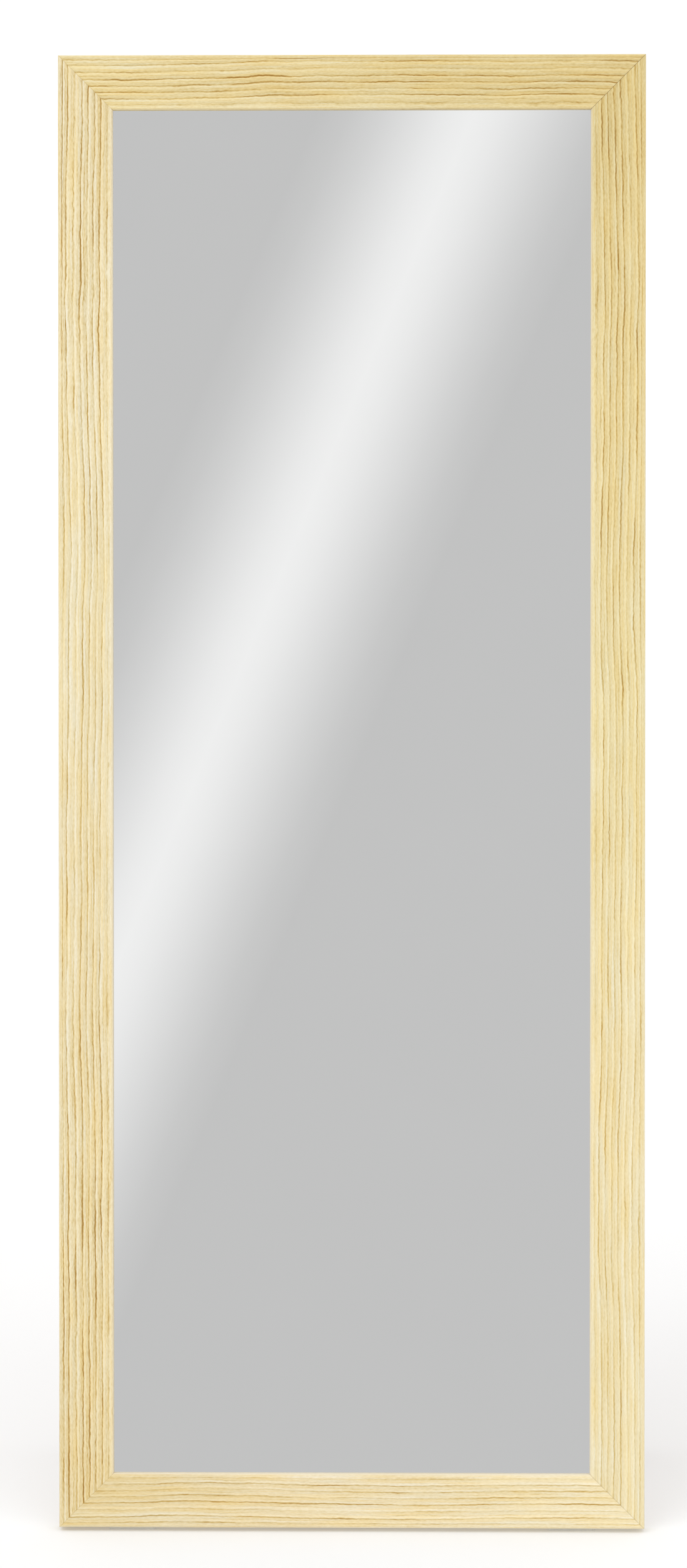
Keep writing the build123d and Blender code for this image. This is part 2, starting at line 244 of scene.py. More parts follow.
# How much of each goes into the darkness of the wood. The crest highlight is the pale ridge beside a
# line: partly the wood's own pale band and partly a painted highlight where the ridge would catch the
# light.
STRENGTH = {
    "dash": 0.18, "streak": 0.55, "wide_streak": 0.30, "fleck": 0.80, "hair": 0.2, "fibre": 0.16,
    "cloud": 0.30, "crest_highlight": -0.14,
}
SHAKE = {"flutter": 0.24, "tremor": 0.22}  # how far a line shakes, as a share of a band
FIGURE_MEAN = 0.17  # taken off, so that a bolder grain isn't darker as a whole
CREST_HIGHLIGHT_AT = 0.23  # where the pale ridge's painted highlight peaks, as a share of the band
GRAIN_RELIEF = 0.25 * MM


def wood(name, seed, tones, boldness, lip):
    """Open-grained light oak finish. Rings and dark pore lines follow the mesh's grain attribute:
    x counts the rings, y is the distance across and z the distance along, in metres. tones are
    (share of the length, colour) pairs that the wood is multiplied by, boldness gives pairs for
    how strong its grain is, and lip gives the painted shade and the painted highlight on the
    edge beside the glass, set for each member by which way its lip faces the light."""
    g = Graph(name)
    cut, seam, share_along = (g.attribute(which) for which in ("cut", "seam", "share"))
    rings, across, along = g.node("SeparateXYZ", {0: g.attribute("grain", "Vector")}).outputs
    follow = {"ring": g.math("ROUND", rings), "across": across}

    def layer(which):
        follows, per_unit, per_metre, number, *quality = LAYERS[which]
        at = g.vector(g.times(follow[follows], per_unit), g.times(along, per_metre), seed + number)
        return g.noise(at, 1.0, *quality)

    def centred(noise, amount):
        return g.times(g.math("SUBTRACT", noise, 0.5), amount)

    flutter, tremor = (centred(layer(which), amount) for which, amount in SHAKE.items())
    shaken = g.add(rings, g.add(flutter, tremor))
    follow["band"] = g.math("FLOOR", shaken)
    share = g.math("FRACT", shaken)
    edge = g.math("MINIMUM", share, g.math("SUBTRACT", 1.0, share))

    width = g.fit(layer("line_width"), 0.3, 0.7, 0.10, 0.22)
    line = g.fit(g.math("DIVIDE", edge, width), 1.0, 0.25, smooth=True)
    line_dark = g.times(cut, g.fit(layer("line_dark"), 0.3, 0.65, 0.36, 0.70))
    line_dark = g.times(line_dark, g.fit(layer("line_fading"), 0.38, 0.52, 0.50, 1.12))
    dash = g.times(g.fit(layer("dash"), 0.62, 0.70), g.fit(edge, 0.14, 0.03, smooth=True))
    slope = g.times(g.fit(share, 0.10, 0.95, -0.5, 0.5), g.fit(layer("slope"), 0.3, 0.7, 0.14, 0.46))
    # A painted highlight on the ridge just beside each line, partly the wood's own pale band.
    crest_highlight = g.fit(g.apart(share, CREST_HIGHLIGHT_AT), 0.14, 0.03, smooth=True)
    thin_at = g.add(0.5, centred(layer("thin_line_at"), 0.6))
    thin_line = g.fit(g.apart(share, thin_at), 0.09, 0.01, smooth=True)
    thin_dark = g.fit(layer("thin_line_dark"), 0.45, 0.65, 0.0, 0.34)
    streak, fibre = layer("streak"), layer("fibre")

    figure = -FIGURE_MEAN
    for part in (
        g.times(line, line_dark),
        g.times(thin_line, thin_dark),
        slope,
        g.times(dash, STRENGTH["dash"]),
        centred(streak, STRENGTH["streak"]),
        centred(layer("wide_streak"), STRENGTH["wide_streak"]),
        centred(layer("fleck"), STRENGTH["fleck"]),
        g.times(g.fit(layer("hair"), 0.58, 0.68), STRENGTH["hair"]),
        centred(fibre, STRENGTH["fibre"]),
        centred(layer("cloud"), STRENGTH["cloud"]),
        g.times(crest_highlight, STRENGTH["crest_highlight"]),
    ):
        figure = g.add(figure, part)
    span = g.math("DIVIDE", rings, len(GROOVES) + 1.0)
    # The lip's painted shade sets how dark the wood is painted at the lip, and its painted highlight
    # how strongly the pale highlight colour is laid over the lip's rounded edge.
    lip_painted_shade, lip_painted_highlight = lip
    ground = g.ramp(span, greys([*ACROSS_FACE, (LIP, lip_painted_shade)]))
    dark = g.add(ground, g.times(figure, g.ramp(share_along, greys(boldness))))
    hue = g.add(g.times(layer("line_hue"), 0.5), g.times(layer("streak_hue"), 0.5))
    colour = g.mix(1.0, g.ramp(dark, SHADES), g.ramp(hue, HUES), blend="MULTIPLY")
    colour = g.mix(1.0, colour, g.ramp(share_along, tones), blend="MULTIPLY")
    # Painted highlight along the lip's rounded edge beside the glass.
    colour = g.mix(g.fit(span, *LIP_HIGHLIGHT_FADE_IN, 0.0, lip_painted_highlight), colour, LIP_PAINTED_HIGHLIGHT)
    colour = g.mix(seam, colour, SEAM)

    relief = g.add(g.times(fibre, 0.5), g.times(streak, 0.5))
    return g.surface(base_color=colour, roughness=g.fit(streak, 0.3, 0.7, 0.42, 0.56),
                     normal=g.bump(relief, 0.35, GRAIN_RELIEF), specular_ior_level=0.35)


def core(name):
    """The moulding's bare back and rebate: pale sawn softwood."""
    g = Graph(name)
    _, across, along = g.node("SeparateXYZ", {0: g.attribute("grain", "Vector")}).outputs
    rings = g.noise(g.vector(g.times(across, 160.0), g.times(along, 4.0), 3.0), detail=3.0, rough=0.55)
    fibre = g.noise(g.vector(g.times(across, 2600.0), g.times(along, 60.0), 1.0))
    colour = g.ramp(rings, [
        (0.30, linear(226, 200, 152)), (0.47, linear(216, 186, 134)), (0.53, linear(193, 154, 98)),
        (0.60, linear(222, 194, 144)), (0.75, linear(231, 208, 163)),
    ])
    colour = g.mix(g.fit(fibre, 0.4, 0.7, 0.0, 0.3), colour, linear(176, 138, 88))
    return g.surface(base_color=colour, roughness=g.fit(fibre, 0.3, 0.7, 0.62, 0.78),
                     normal=g.bump(fibre, 0.4, 0.3 * MM))


# ---------------------------------------------------------------- mouldings

GLASS_PLAY = 1.0 * MM
EDGE_R = 2.0 * MM
FLAT_FROM = 1.1 * EDGE_R  # the grooves' points stay this far inside the face's two edges
BACK_CHAMFER = 0.5 * MM
SIDE_STEPS = 8
ROUND_STEPS = 5
LIP_STEPS = (0.33, 0.66, 1.0)
ROW_STEP = 3.5 * MM
GROOVES = [4.5, 9.3, 16.2, 22.7, 28.6, 34.6, 40.4, 46.4]  # mm from the outer edge
GROOVE_CUT = [0.6, 1.0, 0.45, 1.0, 0.9, 0.8, 0.95, 0.28]  # how strongly each is cut
CUT_CHANGES = [(0.3, 60), (0.2, 17)]  # how much that changes along it, and over what length, mm
CUT_RANGE = (0.1, 1.2)
PLAIN_CUT = 0.75  # how strongly lines are drawn on the sides, which have no grooves
AROUND_GROOVE = [-1.9, -1.1, -0.5, -0.18, 0.0, 0.2, 0.5, 1.1, 1.9]
RING_W = 5.9 * MM  # on the outer side
LIP_RING_W = 3 * RING_W  # and on the lip, the rebate and the back
RING_AT_EDGE, RINGS_TO_LIP = 0.25, 0.5  # the parts of a ring at the face's two edges
GROOVE_DEPTH = 0.26 * MM
NOTCH_OUT, NOTCH_IN = 0.35 * MM, 0.45 * MM  # a groove's reach towards the outer edge and the lip
SLOPE_DEPTH = 0.20 * MM
SLOPE_W = 2.6 * MM  # the face slopes down to a groove over this width, on its outer side
SKIN = 0.04 * MM
DRIFTS = [(1.2, 230), (0.5, 85), (0.22, 31)]  # how far the lines wander, and over what length, mm
OWN_DRIFTS = [(0.32, 44), (0.14, 15)]  # and how far each wanders on its own
CALM = 0.15  # the lines straighten over this share of the length towards a mitre where they meet
STEADY = 6 * MM  # and near the face's two edges, over this width
SEAM_ROWS = [0.0, 0.25, 0.7, 1.6]
SEAM_W = 0.4 * MM
SEAM_DEPTH = 0.22 * MM
WOOD_SHARP = math.radians(40)


def wave(along, rng, length):
    """Smooth random values from -1 to 1 along the member, with bends about this far apart."""
    knots = int(along.max() / length) + 4
    heights = rng.uniform(-1, 1, knots + 1)
    at = along / length + 1
    low = np.clip(at.astype(int), 0, knots - 1)
    share = at - low
    share = share * share * (3 - 2 * share)
    return heights[low] * (1 - share) + heights[low + 1] * share


def waves(along, rng, sizes):
    """The sum of a wave for each (height, length in mm) pair."""
    return sum(height * wave(along, rng, length * MM) for height, length in sizes)


def profile():
    """The section's points in order, as (across, out, where): from the back, up the outer side, over
    the face, down the lip, round the rebate and along the back. where is a groove's number on the
    face, and says which surface it is elsewhere."""
    wall = GLASS_EDGE - GLASS_PLAY
    points = [(BACK_CHAMFER, -DEPTH, "back"), (0.0, BACK_CHAMFER - DEPTH, "outer")]
    for i in range(1, SIDE_STEPS):
        points.append((0.0, -DEPTH + (DEPTH - EDGE_R) * i / SIDE_STEPS, "outer"))
    for i in range(ROUND_STEPS + 1):
        turn = math.pi / 2 * i / ROUND_STEPS
        points.append((EDGE_R * (1 - math.cos(turn)), EDGE_R * (math.sin(turn) - 1), "face"))
    for i, groove in enumerate(GROOVES):
        for beside in AROUND_GROOVE:
            across = (groove + beside) * MM
            if FLAT_FROM < across < FACE_W - FLAT_FROM:
                points.append((across, 0.0, i))
    for i in range(ROUND_STEPS + 1):
        turn = math.pi / 2 * i / ROUND_STEPS
        points.append((FACE_W - EDGE_R * (1 - math.sin(turn)), EDGE_R * (math.cos(turn) - 1), "face"))
    for share in LIP_STEPS:
        points.append((FACE_W, -EDGE_R + (GLASS_OUT + EDGE_R) * share, "lip"))
    points += [(wall, GLASS_OUT, "back"), (wall, -DEPTH, "back")]
    return points


def ring_number(across, out, where):
    """How many rings there are from the outer edge to a point of the section."""
    marks = [0.0, *[g * MM for g in GROOVES], FACE_W]
    counts = [RING_AT_EDGE, *range(1, len(GROOVES) + 1), len(GROOVES) + RINGS_TO_LIP]
    number = float(np.interp(across, marks, counts))
    if where == "outer" or (where == "face" and across < EDGE_R):
        number += out / RING_W
    if where in ("lip", "back") or (where == "face" and across > FACE_W - EDGE_R):
        number -= out / LIP_RING_W
    return number


def member_mesh(name, section, co, grain, shades, material):
    """A closed mesh through co, which follows each point of the section along the member in turn.
    shades holds the values that the wood's look reads beside the grain."""
    count = len(section)
    long = len(co) // count
    faces, bare = [], []
    for i in range(count):
        j = (i + 1) % count
        for r in range(long - 1):
            faces.append((j * long + r, j * long + r + 1, i * long + r + 1, i * long + r))
        bare += [int("back" in (section[i][2], section[j][2]))] * (long - 1)
    faces.append([i * long for i in reversed(range(count))])
    faces.append([i * long + long - 1 for i in range(count)])

    mesh = bpy.data.meshes.new(name)
    mesh.from_pydata(co, [], faces)
    mesh.polygons.foreach_set("material_index", bare + [1, 1])
    mesh.polygons.foreach_set("use_smooth", [True] * (len(faces) - 2) + [False] * 2)
    mesh.attributes.new("grain", "FLOAT_VECTOR", "POINT").data.foreach_set(
        "vector", np.concatenate(grain).astype(np.float32).ravel())
    for shade, values in shades.items():
        mesh.attributes.new(shade, "FLOAT", "POINT").data.foreach_set(
            "value", np.concatenate(values).astype(np.float32))
    mesh.materials.append(material)
    mesh.materials.append(bare_wood)
    mesh.validate()
    mesh.update()
    mesh.set_sharp_from_angle(angle=WOOD_SHARP)
    return mesh


def moulding(node, corner, inward, onward, length, seed, wander, seams, material):
    """One mitred member. corner is the outer corner where it starts, as (across, along); inward and
    onward are unit steps across and along it, in the frame's own two directions. wander says how
    freely its lines drift, and seams how dark the mitres at its start and end are."""
    rng = np.random.default_rng(seed)
    section = profile()
    rows = [r * MM / length for r in SEAM_ROWS]
    inner = np.linspace(rows[-1], 1 - rows[-1], int(length / ROW_STEP))[1:-1]
    shares = np.array(rows + list(inner) + [1 - r for r in reversed(rows)])
    middle = shares * length

    drift = waves(middle, rng, DRIFTS) * MM
    meets = [0.0 if strength < 0.5 else 1.0 for strength in seams]
    drift *= wander * np.interp(shares, [0, CALM, 1 - CALM, 1], [meets[0], 1, 1, meets[1]])
    own = [waves(middle, rng, OWN_DRIFTS) * MM for _ in GROOVES]
    deep = [np.clip(g + waves(middle, rng, CUT_CHANGES), *CUT_RANGE) for g in GROOVE_CUT]
    seam_fall = np.interp(np.minimum(shares, 1 - shares) * length, [0, SEAM_W], [1, 0])

    co, grain, cut, seam, share = [], [], [], [], []
    for across0, out0, where in section:
        number = ring_number(across0, out0, where)
        across = np.full(len(shares), across0)
        out = np.full(len(shares), out0)
        strength = np.full(len(shares), PLAIN_CUT)
        grooved = isinstance(where, int)
        if grooved:
            beside = across0 - GROOVES[where] * MM
            room = min(across0, FACE_W - across0) - FLAT_FROM
            across = across + min(room / STEADY, 1) * (drift + own[where])
            strength = deep[where]
            notch = max(0.0, 1 - abs(beside) / (NOTCH_IN if beside > 0 else NOTCH_OUT))
            slope = max(0.0, 1 + beside / SLOPE_W) if beside <= 0 else 0.0
            out = -SKIN - strength * (GROOVE_DEPTH * notch + SLOPE_DEPTH * slope * (1 - notch))
        onto = across + shares * (length - 2 * across)
        if grooved or where == "face":
            out = out - SEAM_DEPTH * seam_fall
        for a, o, t in zip(across, out, onto):
            spot = Vector(corner) + Vector(inward) * a + Vector(onward) * t
            co.append(place(spot[0], spot[1], o))
        round_side = out0 if across0 < EDGE_R and where != "back" else -out0
        girth = across + (0.0 if grooved else round_side)
        grain.append(np.stack([np.full(len(shares), number), girth, onto], axis=1))
        cut.append(strength)
        share.append(shares)
        ends = np.where(shares < 0.5, seams[0], seams[1])
        seam.append(seam_fall * ends if (grooved or where == "face") else seam_fall * 0)

    shades = {"cut": cut, "seam": seam, "share": share}
    mesh = member_mesh(node + "_wood", section, co, grain, shades, material)
    piece = add_object(node + "_wood", mesh)
    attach(piece, "mirror")
    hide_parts(node)


LEFT_TONES = [
    (0.00, (0.92, 0.87, 0.74, 1)), (0.20, (0.95, 0.92, 0.83, 1)), (0.36, (0.96, 0.94, 0.88, 1)),
    (0.48, (1.00, 1.01, 1.03, 1)), (0.65, (1.00, 1.02, 1.05, 1)), (0.82, (0.98, 0.97, 0.93, 1)),
    (1.00, (0.92, 0.89, 0.80, 1)),
]
TOP_TONES = [
    (0.00, (0.93, 0.89, 0.72, 1)), (0.32, (0.92, 0.87, 0.69, 1)), (0.55, (0.88, 0.83, 0.64, 1)),
    (1.00, (0.86, 0.79, 0.56, 1)),
]
RIGHT_TONES = [
    (0.00, (0.83, 0.76, 0.52, 1)), (0.18, (0.93, 0.88, 0.68, 1)), (0.45, (0.98, 0.98, 0.87, 1)),
    (0.72, (1.02, 1.02, 0.98, 1)), (1.00, (1.03, 1.04, 1.02, 1)),
]
BOTTOM_TONES = [
    (0.00, (1.08, 1.09, 1.11, 1)), (0.38, (1.03, 1.02, 1.03, 1)), (0.65, (1.01, 0.99, 0.98, 1)),
    (1.00, (0.95, 0.91, 0.80, 1)),
]
LEFT_BOLD = [(0.0, 1.02), (0.22, 1.02), (0.45, 0.62), (0.65, 0.62), (0.85, 1.03), (1.0, 1.03)]
TOP_BOLD = [(0.0, 0.78), (1.0, 0.80)]
RIGHT_BOLD = [(0.0, 0.92), (0.12, 0.90), (0.3, 0.70), (0.5, 0.62), (1.0, 0.49)]
BOTTOM_BOLD = [(0.0, 0.55), (0.5, 0.60), (1.0, 0.58)]

bare_wood = core("bare_wood")
# The last pair for each wood is its lip's painted shade and painted highlight: the top rail's lip faces
# down and gets the most shade and little highlight, the bottom rail's faces up and gets the most
# highlight.
moulding("left_stile", (-HALF, 0), (1, 0), (0, 1), HEIGHT, 11, 2.1, (0.15, 0.15),
         wood("oak_left", 1.3, LEFT_TONES, LEFT_BOLD, (0.365, 0.60)))
moulding("top_rail", (-HALF, HEIGHT), (0, -1), (1, 0), WIDTH, 23, 2.9, (0.15, 0.75),
         wood("oak_top", 7.9, TOP_TONES, TOP_BOLD, (0.375, 0.15)))
moulding("right_stile", (HALF, HEIGHT), (-1, 0), (0, -1), HEIGHT, 37, 2.2, (0.75, 0.35),
         wood("oak_right", 14.1, RIGHT_TONES, RIGHT_BOLD, (0.325, 0.62)))
moulding("bottom_rail", (HALF, 0), (0, 1), (-1, 0), WIDTH, 53, 1.7, (0.30, 0.15),
         wood("oak_bottom", 21.7, BOTTOM_TONES, BOTTOM_BOLD, (0.305, 0.70)))


# ---------------------------------------------------------------- the stand's tube

TUBE_WALL = 1.5 * MM
BOLT_HOLE_R = 3.1 * MM
BEND_R = 55 * MM
BEND_STEPS = 28
LEG_STEPS = 16
AROUND_TUBE = 64
AROUND_HOLE = 40
TUBE_SHARP = math.radians(35)


def tube_path(leg_x, leg_way, pivot, top, bottom):
    """Points and directions along the U: down the left leg, across the floor and up the right leg.
    top and bottom are the ends of the U's middle line, along leg_way from the pivot."""
    stops = []
    for i in range(LEG_STEPS):
        drop = (bottom + BEND_R - top) * i / LEG_STEPS
        stops.append((Vector((-leg_x, top + drop)), Vector((0, -1))))
    for i in range(BEND_STEPS + 1):
        turn = math.pi / 2 * i / BEND_STEPS
        centre = Vector((-leg_x + BEND_R, bottom + BEND_R))
        stops.append((centre - BEND_R * Vector((math.cos(turn), math.sin(turn))),
                      Vector((math.sin(turn), -math.cos(turn)))))
    steps = LEG_STEPS // 2
    for i in range(1, steps + 1):
        stops.append((Vector(((-leg_x + BEND_R) * (1 - i / steps), bottom)), Vector((1, 0))))
    for at, way in reversed(stops[:-1]):
        stops.append((Vector((-at.x, at.y)), Vector((way.x, -way.y))))
    return [(pivot + ACROSS * at.x + leg_way * at.y, ACROSS * way.x + leg_way * way.y)
            for at, way in stops]


def tube_mesh(path, sideways, radius):
    """A tube with its bore along the path, which lies in a plane square to sideways."""
    co, faces = [], []
    for wall in (radius, radius - TUBE_WALL):
        for at, way in path:
            beside = way.cross(sideways)
            for i in range(AROUND_TUBE):
                turn = 2 * math.pi * i / AROUND_TUBE
                co.append(at + wall * (math.cos(turn) * sideways + math.sin(turn) * beside))
    count = len(path) * AROUND_TUBE
    for stop in range(len(path) - 1):
        for i in range(AROUND_TUBE):
            a, b = stop * AROUND_TUBE + i, stop * AROUND_TUBE + (i + 1) % AROUND_TUBE
            c, d = b + AROUND_TUBE, a + AROUND_TUBE
            faces.append((a, b, c, d))
            faces.append((count + d, count + c, count + b, count + a))
    for first, turned in ((0, False), (count - AROUND_TUBE, True)):
        for i in range(AROUND_TUBE):
            a, b = first + i, first + (i + 1) % AROUND_TUBE
            ring = (b, a, count + a, count + b)
            faces.append(ring[::-1] if turned else ring)
    mesh = bpy.data.meshes.new("tube")
    mesh.from_pydata(co, [], faces)
    mesh.update()
    return mesh


def bolt_hole(spot, depth):
    """A cylinder along the row's X, to be cut out of the tube."""
    drill = bmesh.new()
    turned = Matrix.Translation(spot) @ Matrix.Rotation(math.pi / 2, 4, "Y")
    bmesh.ops.create_cone(drill, cap_ends=True, segments=AROUND_HOLE, radius1=BOLT_HOLE_R,
                          radius2=BOLT_HOLE_R, depth=depth, matrix=turned)
    mesh = bpy.data.meshes.new("drill")
    drill.to_mesh(mesh)
    drill.free()
    return add_object("drill", mesh)


def cut_out(name, whole, cutters):
    """A new mesh: what is left of the whole object's without the cutters. All of them are removed."""
    for cutter in cutters:
        cut = whole.modifiers.new("hole", "BOOLEAN")
        cut.operation, cut.solver, cut.object = "DIFFERENCE", "EXACT", cutter
    bpy.context.view_layer.update()
    depsgraph = bpy.context.evaluated_depsgraph_get()
    mesh = bpy.data.meshes.new_from_object(whole.evaluated_get(depsgraph))
    for extra in (whole, *cutters):
        bpy.data.objects.remove(extra)
    mesh.name = name
    return mesh


def smooth_tube(material):
    """The stand's tube with round bends, its bore and its two cross holes."""
    pivot = Vector(frame["record"]["behaviour"]["joints"][0]["pos_m"])
    foot_low, foot_high = (Vector(corner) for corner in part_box("left_stand_foot"))
    foot = (foot_low + foot_high) / 2
    leg_way = Vector((0, pivot.y - foot.y, pivot.z - foot.z)).normalized()
    sideways = ACROSS.cross(leg_way)
    middle = pivot.dot(leg_way)
    low, top = extent("stand_tube", leg_way)
    near, far = extent("stand_tube", sideways)
    radius = (far - near) / 2
    leg_x = extent("stand_tube", ACROSS)[1] - radius
    path = tube_path(leg_x, leg_way, pivot, top - middle, low + radius - middle)

    whole = add_object("tube", tube_mesh(path, sideways, radius))
    holes = [bolt_hole(pivot + ACROSS * side * leg_x, 3 * radius) for side in (-1, 1)]
    mesh = cut_out("bent_tube", whole, holes)
    mesh.materials.clear()
    mesh.materials.append(material)
    mesh.polygons.foreach_set("use_smooth", [True] * len(mesh.polygons))
    mesh.set_sharp_from_angle(angle=TUBE_SHARP)
    piece = add_object("bent_tube", mesh)
    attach(piece, "stand")
    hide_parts("stand_tube")


# ---------------------------------------------------------------- the other materials

FINE_RELIEF = 0.1 * MM
COARSE_RELIEF = 0.2 * MM


def mirror_silver():
    g = Graph("silvered_glass")
    haze = g.noise(g.place(), scale=9.0, detail=4.0, rough=0.6)
    tint = g.mix(g.fit(haze, 0.3, 0.7), (0.910, 0.913, 0.911, 1), (0.918, 0.921, 0.919, 1))
    return g.surface(base_color=tint, metallic=1.0, roughness=g.fit(haze, 0.35, 0.75, 0.0, 0.012))


def zinc():
    g = Graph("zinc_steel")
    spangle = g.noise(g.place(), scale=420.0, detail=3.0, rough=0.6)
    drawn_out = g.node("Mapping", {"Vector": g.place(), "Scale": (900.0, 900.0, 60.0)}).outputs[0]
    brushed = g.noise(drawn_out)
    colour = g.mix(spangle, linear(176, 178, 180), linear(214, 216, 219))
    return g.surface(base_color=colour, metallic=1.0,
                     roughness=g.fit(g.add(spangle, brushed), 0.7, 1.3, 0.26, 0.42),
                     normal=g.bump(brushed, 0.12, FINE_RELIEF))


def powder_coat():
    g = Graph("black_powder_coat")
    orange_peel = g.noise(g.place(), scale=1500.0)
    cloud = g.noise(g.place(), scale=30.0, detail=3.0)
    colour = g.mix(cloud, linear(26, 26, 27), linear(40, 40, 41))
    return g.surface(base_color=colour, roughness=g.fit(cloud, 0.3, 0.7, 0.36, 0.48),
                     normal=g.bump(orange_peel, 0.25, FINE_RELIEF), specular_ior_level=0.5)


def rubber():
    g = Graph("black_rubber")
    grit = g.noise(g.place(), scale=2200.0, detail=3.0)
    dust = g.noise(g.place(), scale=60.0, detail=4.0)
    colour = g.mix(g.fit(dust, 0.45, 0.8), linear(22, 22, 22), linear(52, 51, 49))
    return g.surface(base_color=colour, roughness=g.fit(dust, 0.3, 0.7, 0.62, 0.8),
                     normal=g.bump(grit, 0.3, FINE_RELIEF))


def moulded_plastic(name, dark, light, rough):
    g = Graph(name)
    grain = g.noise(g.place(), scale=1800.0)
    cloud = g.noise(g.place(), scale=80.0)
    return g.surface(base_color=g.mix(cloud, dark, light),
                     roughness=g.fit(cloud, 0.3, 0.7, rough, rough + 0.1),
                     normal=g.bump(grain, 0.12, FINE_RELIEF))


def clear_pad():
    g = Graph("clear_pad")
    cloud = g.noise(g.place(), scale=200.0)
    colour = g.mix(cloud, linear(222, 220, 210), linear(240, 239, 233))
    return g.surface(base_color=colour, roughness=g.fit(cloud, 0.3, 0.7, 0.3, 0.45),
                     transmission_weight=0.35, ior=1.48)


def fibreboard():
    g = Graph("fibreboard")
    specks = g.noise(g.place(), scale=900.0, detail=4.0, rough=0.7)
    strands = g.noise(g.place(), scale=330.0, detail=6.0, rough=0.72, distortion=0.35)
    cloud = g.noise(g.place(), scale=6.0, detail=3.0)
    colour = g.mix(g.fit(strands, 0.35, 0.68), linear(152, 115, 78), linear(176, 139, 99))
    colour = g.mix(g.fit(specks, 0.58, 0.72, 0.0, 0.5), colour, linear(108, 76, 48))
    colour = g.mix(g.fit(cloud, 0.35, 0.7, 0.0, 0.25), colour, linear(162, 120, 76))
    return g.surface(base_color=colour, roughness=g.fit(strands, 0.3, 0.7, 0.5, 0.64),
                     normal=g.bump(strands, 0.2, COARSE_RELIEF))


def grey_board():
    g = Graph("grey_board")
    pulp = g.noise(g.place(), scale=500.0, detail=4.0, rough=0.7)
    colour = g.mix(pulp, linear(150, 141, 128), linear(182, 174, 160))
    return g.surface(base_color=colour, roughness=g.fit(pulp, 0.3, 0.7, 0.8, 0.92),
                     normal=g.bump(pulp, 0.3, COARSE_RELIEF))


# Each plastic's darkest and lightest colour.
PLUG_BLACK = linear(24, 24, 25), linear(34, 34, 35)
NYLON_WHITE = linear(222, 220, 208), linear(236, 234, 224)
FINISHES = {
    "mirror_glass": mirror_silver(),
    "cardboard_sheet": grey_board(),
    "backing_board": fibreboard(),
    "pivot_washers": moulded_plastic("white_nylon", *NYLON_WHITE, 0.4),
    **dict.fromkeys(("left_floor_pad", "right_floor_pad"), clear_pad()),
    **dict.fromkeys(("left_tube_plug", "right_tube_plug"),
                    moulded_plastic("black_plastic", *PLUG_BLACK, 0.42)),
    **dict.fromkeys(("left_stand_foot", "right_stand_foot"), rubber()),
    **dict.fromkeys(
        ("corner_v_nails", "retaining_points", "left_pivot_bracket", "right_pivot_bracket",
         "bracket_screws", "left_pivot_bolt", "right_pivot_bolt", "pivot_lock_nuts",
         "left_keyhole_hanger", "right_keyhole_hanger", "hanger_screws"),
        zinc(),
    ),
}
for node, material in FINISHES.items():
    for slot in frame["nodes"][node].material_slots:
        slot.material = material
smooth_tube(powder_coat())


# ---------------------------------------------------------------- camera

FLOOR_SIZE = 400.0
CAMERA_AWAY = 5.0
HEIGHT_SHARE = 0.9401  # the frame's share of the picture's height
TILT = math.radians(1.19)  # the camera stands this far above the face's own normal
YAW = math.radians(1.19)  # and this far to its right
MIDDLE_RIGHT = 7.5 * MM  # the frame's middle lies this far right of the picture's middle
MIDDLE_DOWN = 8.8 * MM  # and this far below it

face_middle = place(0, HEIGHT / 2, 0)
toward = (FRONT + ALONG * math.tan(TILT) + ACROSS * math.tan(YAW)).normalized()
right = ALONG.cross(toward).normalized()
up = toward.cross(right)
camera_data = bpy.data.cameras.new("camera")
camera_data.lens = camera_data.sensor_width * CAMERA_AWAY / (HEIGHT / HEIGHT_SHARE)
camera_data.clip_end = 2 * FLOOR_SIZE
camera = add_object("camera", camera_data)
camera.rotation_mode = "QUATERNION"
camera.rotation_quaternion = Matrix((right, up, toward)).transposed().to_quaternion()
camera.location = face_middle + toward * CAMERA_AWAY - right * MIDDLE_RIGHT + up * MIDDLE_DOWN
bpy.context.scene.camera = camera


# ---------------------------------------------------------------- floor and lights

FLOOR_GREYS = (0.68, 0.68, 0.68, 1), (0.70, 0.70, 0.70, 1)
FLOOR_GLOW = 0.22  # the floor glows faintly, so that the shadows on it stay light
WORLD_LIGHT = 1.0


def plane(name, corners):
    """A flat sheet that belongs to the studio and not to the object."""
    mesh = bpy.data.meshes.new(name)
    mesh.from_pydata(corners, [], [range(len(corners))])
    made = add_object(name, mesh)
    return made


def sun(name, azimuth, elevation, strength, angle):
    """A sun, turned from the front towards +X by azimuth and lifted by elevation, in degrees."""
    data = bpy.data.lights.new(name, "SUN")
    data.energy = strength
    data.angle = math.radians(angle)
    made = add_object(name, data)
    a, e = math.radians(azimuth), math.radians(elevation)
    source = Vector((math.sin(a) * math.cos(e), -math.cos(a) * math.cos(e), math.sin(e)))
    made.rotation_mode = "QUATERNION"
    made.rotation_quaternion = source.to_track_quat("Z", "Y")


reach = FLOOR_SIZE / 2
floor = plane("floor", [(-reach, -reach, 0), (reach, -reach, 0), (reach, reach, 0), (-reach, reach, 0)])
floor_look = Graph("floor")
floor_noise = floor_look.noise(floor_look.place(), scale=3.0)
floor.data.materials.append(floor_look.surface(
    base_color=floor_look.mix(floor_noise, *FLOOR_GREYS), roughness=0.9, specular_ior_level=0.1,
    emission_color=(1, 1, 1, 1), emission_strength=FLOOR_GLOW))
floor.visible_glossy = False

world = bpy.data.worlds.new("studio")
world.use_nodes = True
world.node_tree.nodes["Background"].inputs["Color"].default_value = (1, 1, 1, 1)
world.node_tree.nodes["Background"].inputs["Strength"].default_value = WORLD_LIGHT
bpy.context.scene.world = world

sun("key", -38, 48, 0.58, 35)
sun("fill", 34, 40, 0.30, 50)


# ---------------------------------------------------------------- the card that the glass reflects

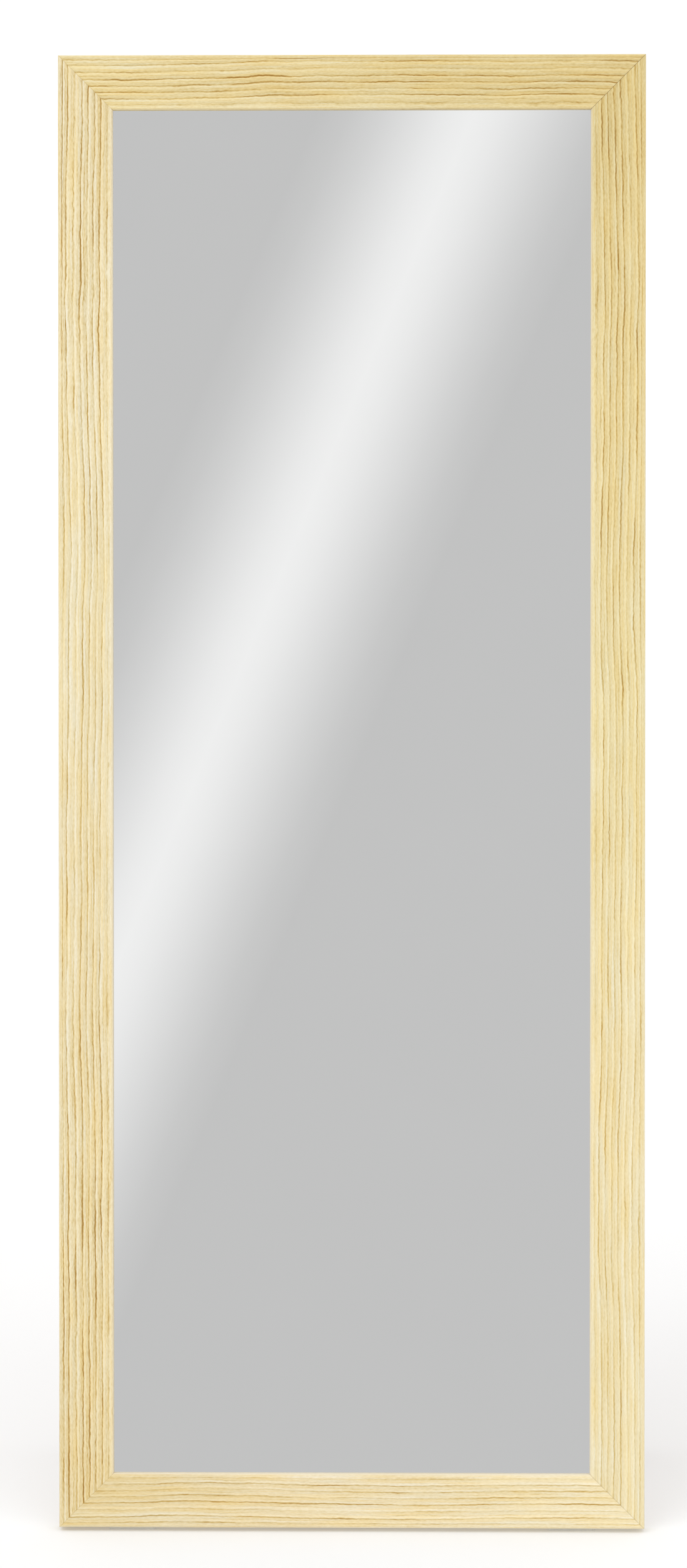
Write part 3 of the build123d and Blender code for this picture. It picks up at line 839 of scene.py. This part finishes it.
# The card has soft edges and a bright band. A point of the glass that the camera sees shows the
# card's point on the same line from the camera's mirror image.
CARD_AWAY = 2.4  # in front of the frame's face
CARD_W, CARD_H = 7.6, 6.0
CARD_FADE = 1.3  # the width of its soft edges
BAND_TOP = 0.115  # the bright band crosses the sight's top edge this far right of the middle
BAND_LEFT = 0.518  # and the sight's left edge this far above the frame's lower edge
BAND_HALF = 0.134  # half the band's width, as the camera sees it in the glass
CARD_DIM, CARD_BRIGHT = 0.589, 0.94  # away from the band, and at its middle
# How the band falls off from its middle, 0, to its edge, 1.
FALL = [(0.0, 1.0), (0.1, 0.94), (0.2, 0.848), (0.4, 0.593), (0.6, 0.333), (0.8, 0.121), (1.0, 0.0)]

camera_from = camera.location - face_middle
camera_across, camera_out = camera_from.dot(ACROSS), camera_from.dot(FRONT)
camera_along = camera_from.dot(ALONG) + HEIGHT / 2
spread = (camera_out - GLASS_OUT + CARD_AWAY - GLASS_OUT) / (camera_out - GLASS_OUT)


def on_card(across, along):
    """Where the camera sees the card in a point of the glass, in the frame's two directions."""
    return (camera_across + (across - camera_across) * spread,
            camera_along + (along - camera_along) * spread)


top_end = Vector(on_card(BAND_TOP, HEIGHT - FACE_W))
left_end = Vector(on_card(FACE_W - HALF, BAND_LEFT))
band_way = (top_end - left_end).normalized()
band_normal = Vector((band_way.y, -band_way.x))
card_across, card_along = on_card(0, HEIGHT / 2)
card_corners = [(card_across + x * CARD_W / 2, card_along + y * CARD_H / 2)
                for x, y in ((-1, -1), (1, -1), (1, 1), (-1, 1))]
card = plane("card", [place(*corner, CARD_AWAY) for corner in card_corners])
card_uv = card.data.uv_layers.new(name="metres")
for loop, corner in zip(card_uv.data, card_corners):
    loop.uv = corner

glow = Graph("card")
x, y, _ = glow.node("SeparateXYZ", {0: glow.node("UVMap", uv_map="metres").outputs["UV"]}).outputs
off = glow.add(glow.times(glow.math("SUBTRACT", x, left_end.x), band_normal.x),
               glow.times(glow.math("SUBTRACT", y, left_end.y), band_normal.y))
off = glow.math("DIVIDE", glow.math("ABSOLUTE", off), BAND_HALF * spread)
light = glow.fit(glow.ramp(off, greys(FALL)), 0.0, 1.0, CARD_DIM, CARD_BRIGHT)
from_side = glow.math("SUBTRACT", CARD_W / 2, glow.apart(x, card_across))
from_end = glow.math("SUBTRACT", CARD_H / 2, glow.apart(y, card_along))
solid = glow.fit(glow.math("MINIMUM", from_side, from_end), 0.0, CARD_FADE, smooth=True)
emission = glow.node("Emission", {"Strength": light}).outputs[0]
clear = glow.node("BsdfTransparent").outputs[0]
blend = glow.node("MixShader", {0: solid, 1: clear, 2: emission}).outputs[0]
glow.plug(glow.tree.nodes["Material Output"].inputs["Surface"], blend)
glow.tree.nodes.remove(glow.shader)
card.data.materials.append(glow.material)
card.visible_camera = False
card.visible_diffuse = False
card.visible_shadow = False
card.visible_transmission = False

bpy.context.scene.view_settings.view_transform = "Standard"
bpy.context.scene.view_settings.look = "None"
